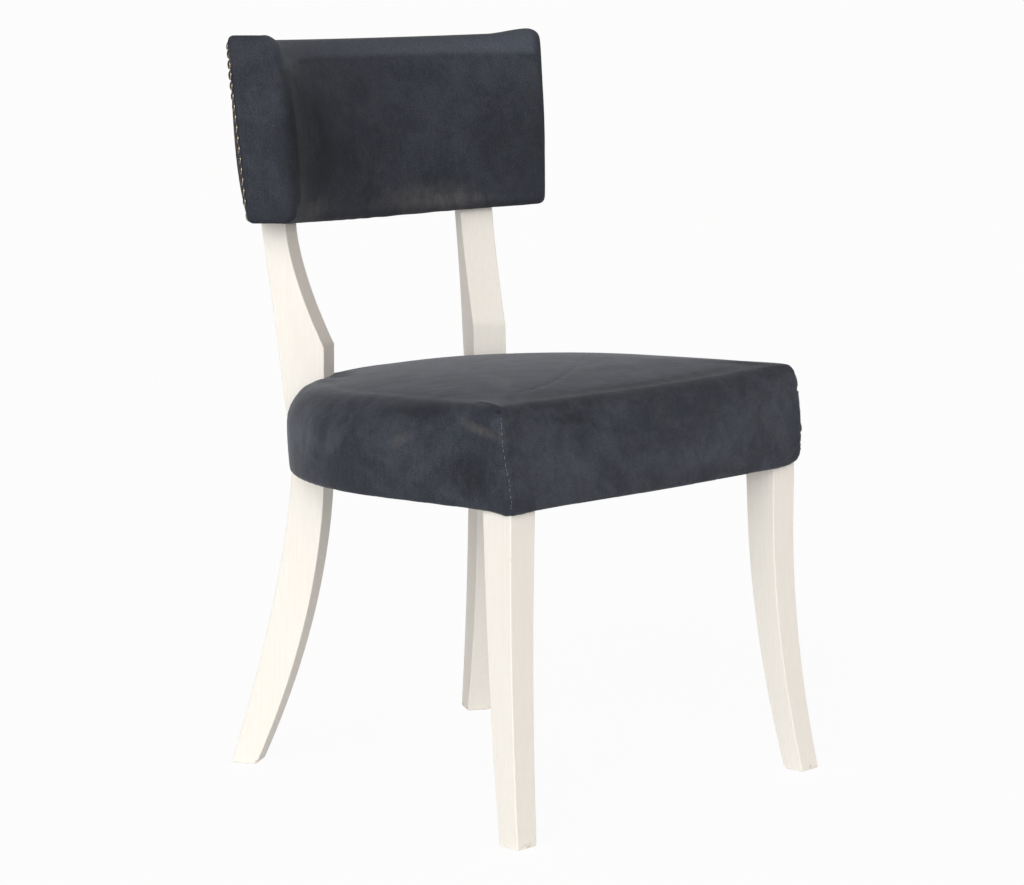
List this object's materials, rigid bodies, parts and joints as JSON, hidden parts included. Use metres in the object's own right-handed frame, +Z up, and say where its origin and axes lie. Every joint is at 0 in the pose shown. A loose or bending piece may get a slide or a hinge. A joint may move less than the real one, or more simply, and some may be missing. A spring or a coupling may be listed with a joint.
{
  "type": "klismos dining chair",
  "caption": "Klismos dining chair with swept painted wood legs, a round-backed upholstered seat and a curved upholstered back panel with nail-head trim.",
  "frame": {"origin": "on the floor, in the middle of the chair's box seen from above", "axes": "+Z up; the chair faces -Y; +X is the side named right in the node names"},
  "size_m": [0.5488, 0.5712, 0.8643],
  "materials": {
    "painted_wood": "lime-washed off-white paint, satin, fine grain showing",
    "velvet": "slate blue-grey velvet",
    "hardwood": "bare planed hardwood",
    "plywood": "bare plywood",
    "foam": "cut polyurethane foam",
    "dust_cloth": "black non-woven cambric",
    "antique_brass": "antiqued, dark in the hollows",
    "zinc_steel": "zinc plated"
  },
  "bodies": {
    "root": {"back_batten_left": "hardwood", "back_batten_right": "hardwood", "back_cover_inside": "velvet", "back_cover_outside": "velvet", "back_foam": "foam", "back_rail_bottom": "hardwood", "back_rail_bottom_left": "hardwood", "back_rail_bottom_right": "hardwood", "back_rail_top": "hardwood", "back_shell": "plywood", "corner_block_front_left": "hardwood", "corner_block_front_right": "hardwood", "corner_block_rear_left": "hardwood", "corner_block_rear_right": "hardwood", "corner_bolt_front_left": "zinc_steel", "corner_bolt_front_right": "zinc_steel", "corner_bolt_rear_left": "zinc_steel", "corner_bolt_rear_right": "zinc_steel", "corner_washer_front_left": "zinc_steel", "corner_washer_front_right": "zinc_steel", "corner_washer_rear_left": "zinc_steel", "corner_washer_rear_right": "zinc_steel", "dust_cover": "dust_cloth", "front_leg_left": "painted_wood", "front_leg_right": "painted_wood", "nail_trim_bottom": "antique_brass", "nail_trim_left": "antique_brass", "nail_trim_right": "antique_brass", "nail_trim_top": "antique_brass", "rear_post_left": "painted_wood", "rear_post_right": "painted_wood", "seat_cover": "velvet", "seat_deck": "plywood", "seat_foam": "foam", "seat_rail_front": "hardwood", "seat_rail_left": "hardwood", "seat_rail_rear": "hardwood", "seat_rail_right": "hardwood", "shell_screw_left_1": "zinc_steel", "shell_screw_left_2": "zinc_steel", "shell_screw_right_1": "zinc_steel", "shell_screw_right_2": "zinc_steel"}
  },
  "joints": []
}
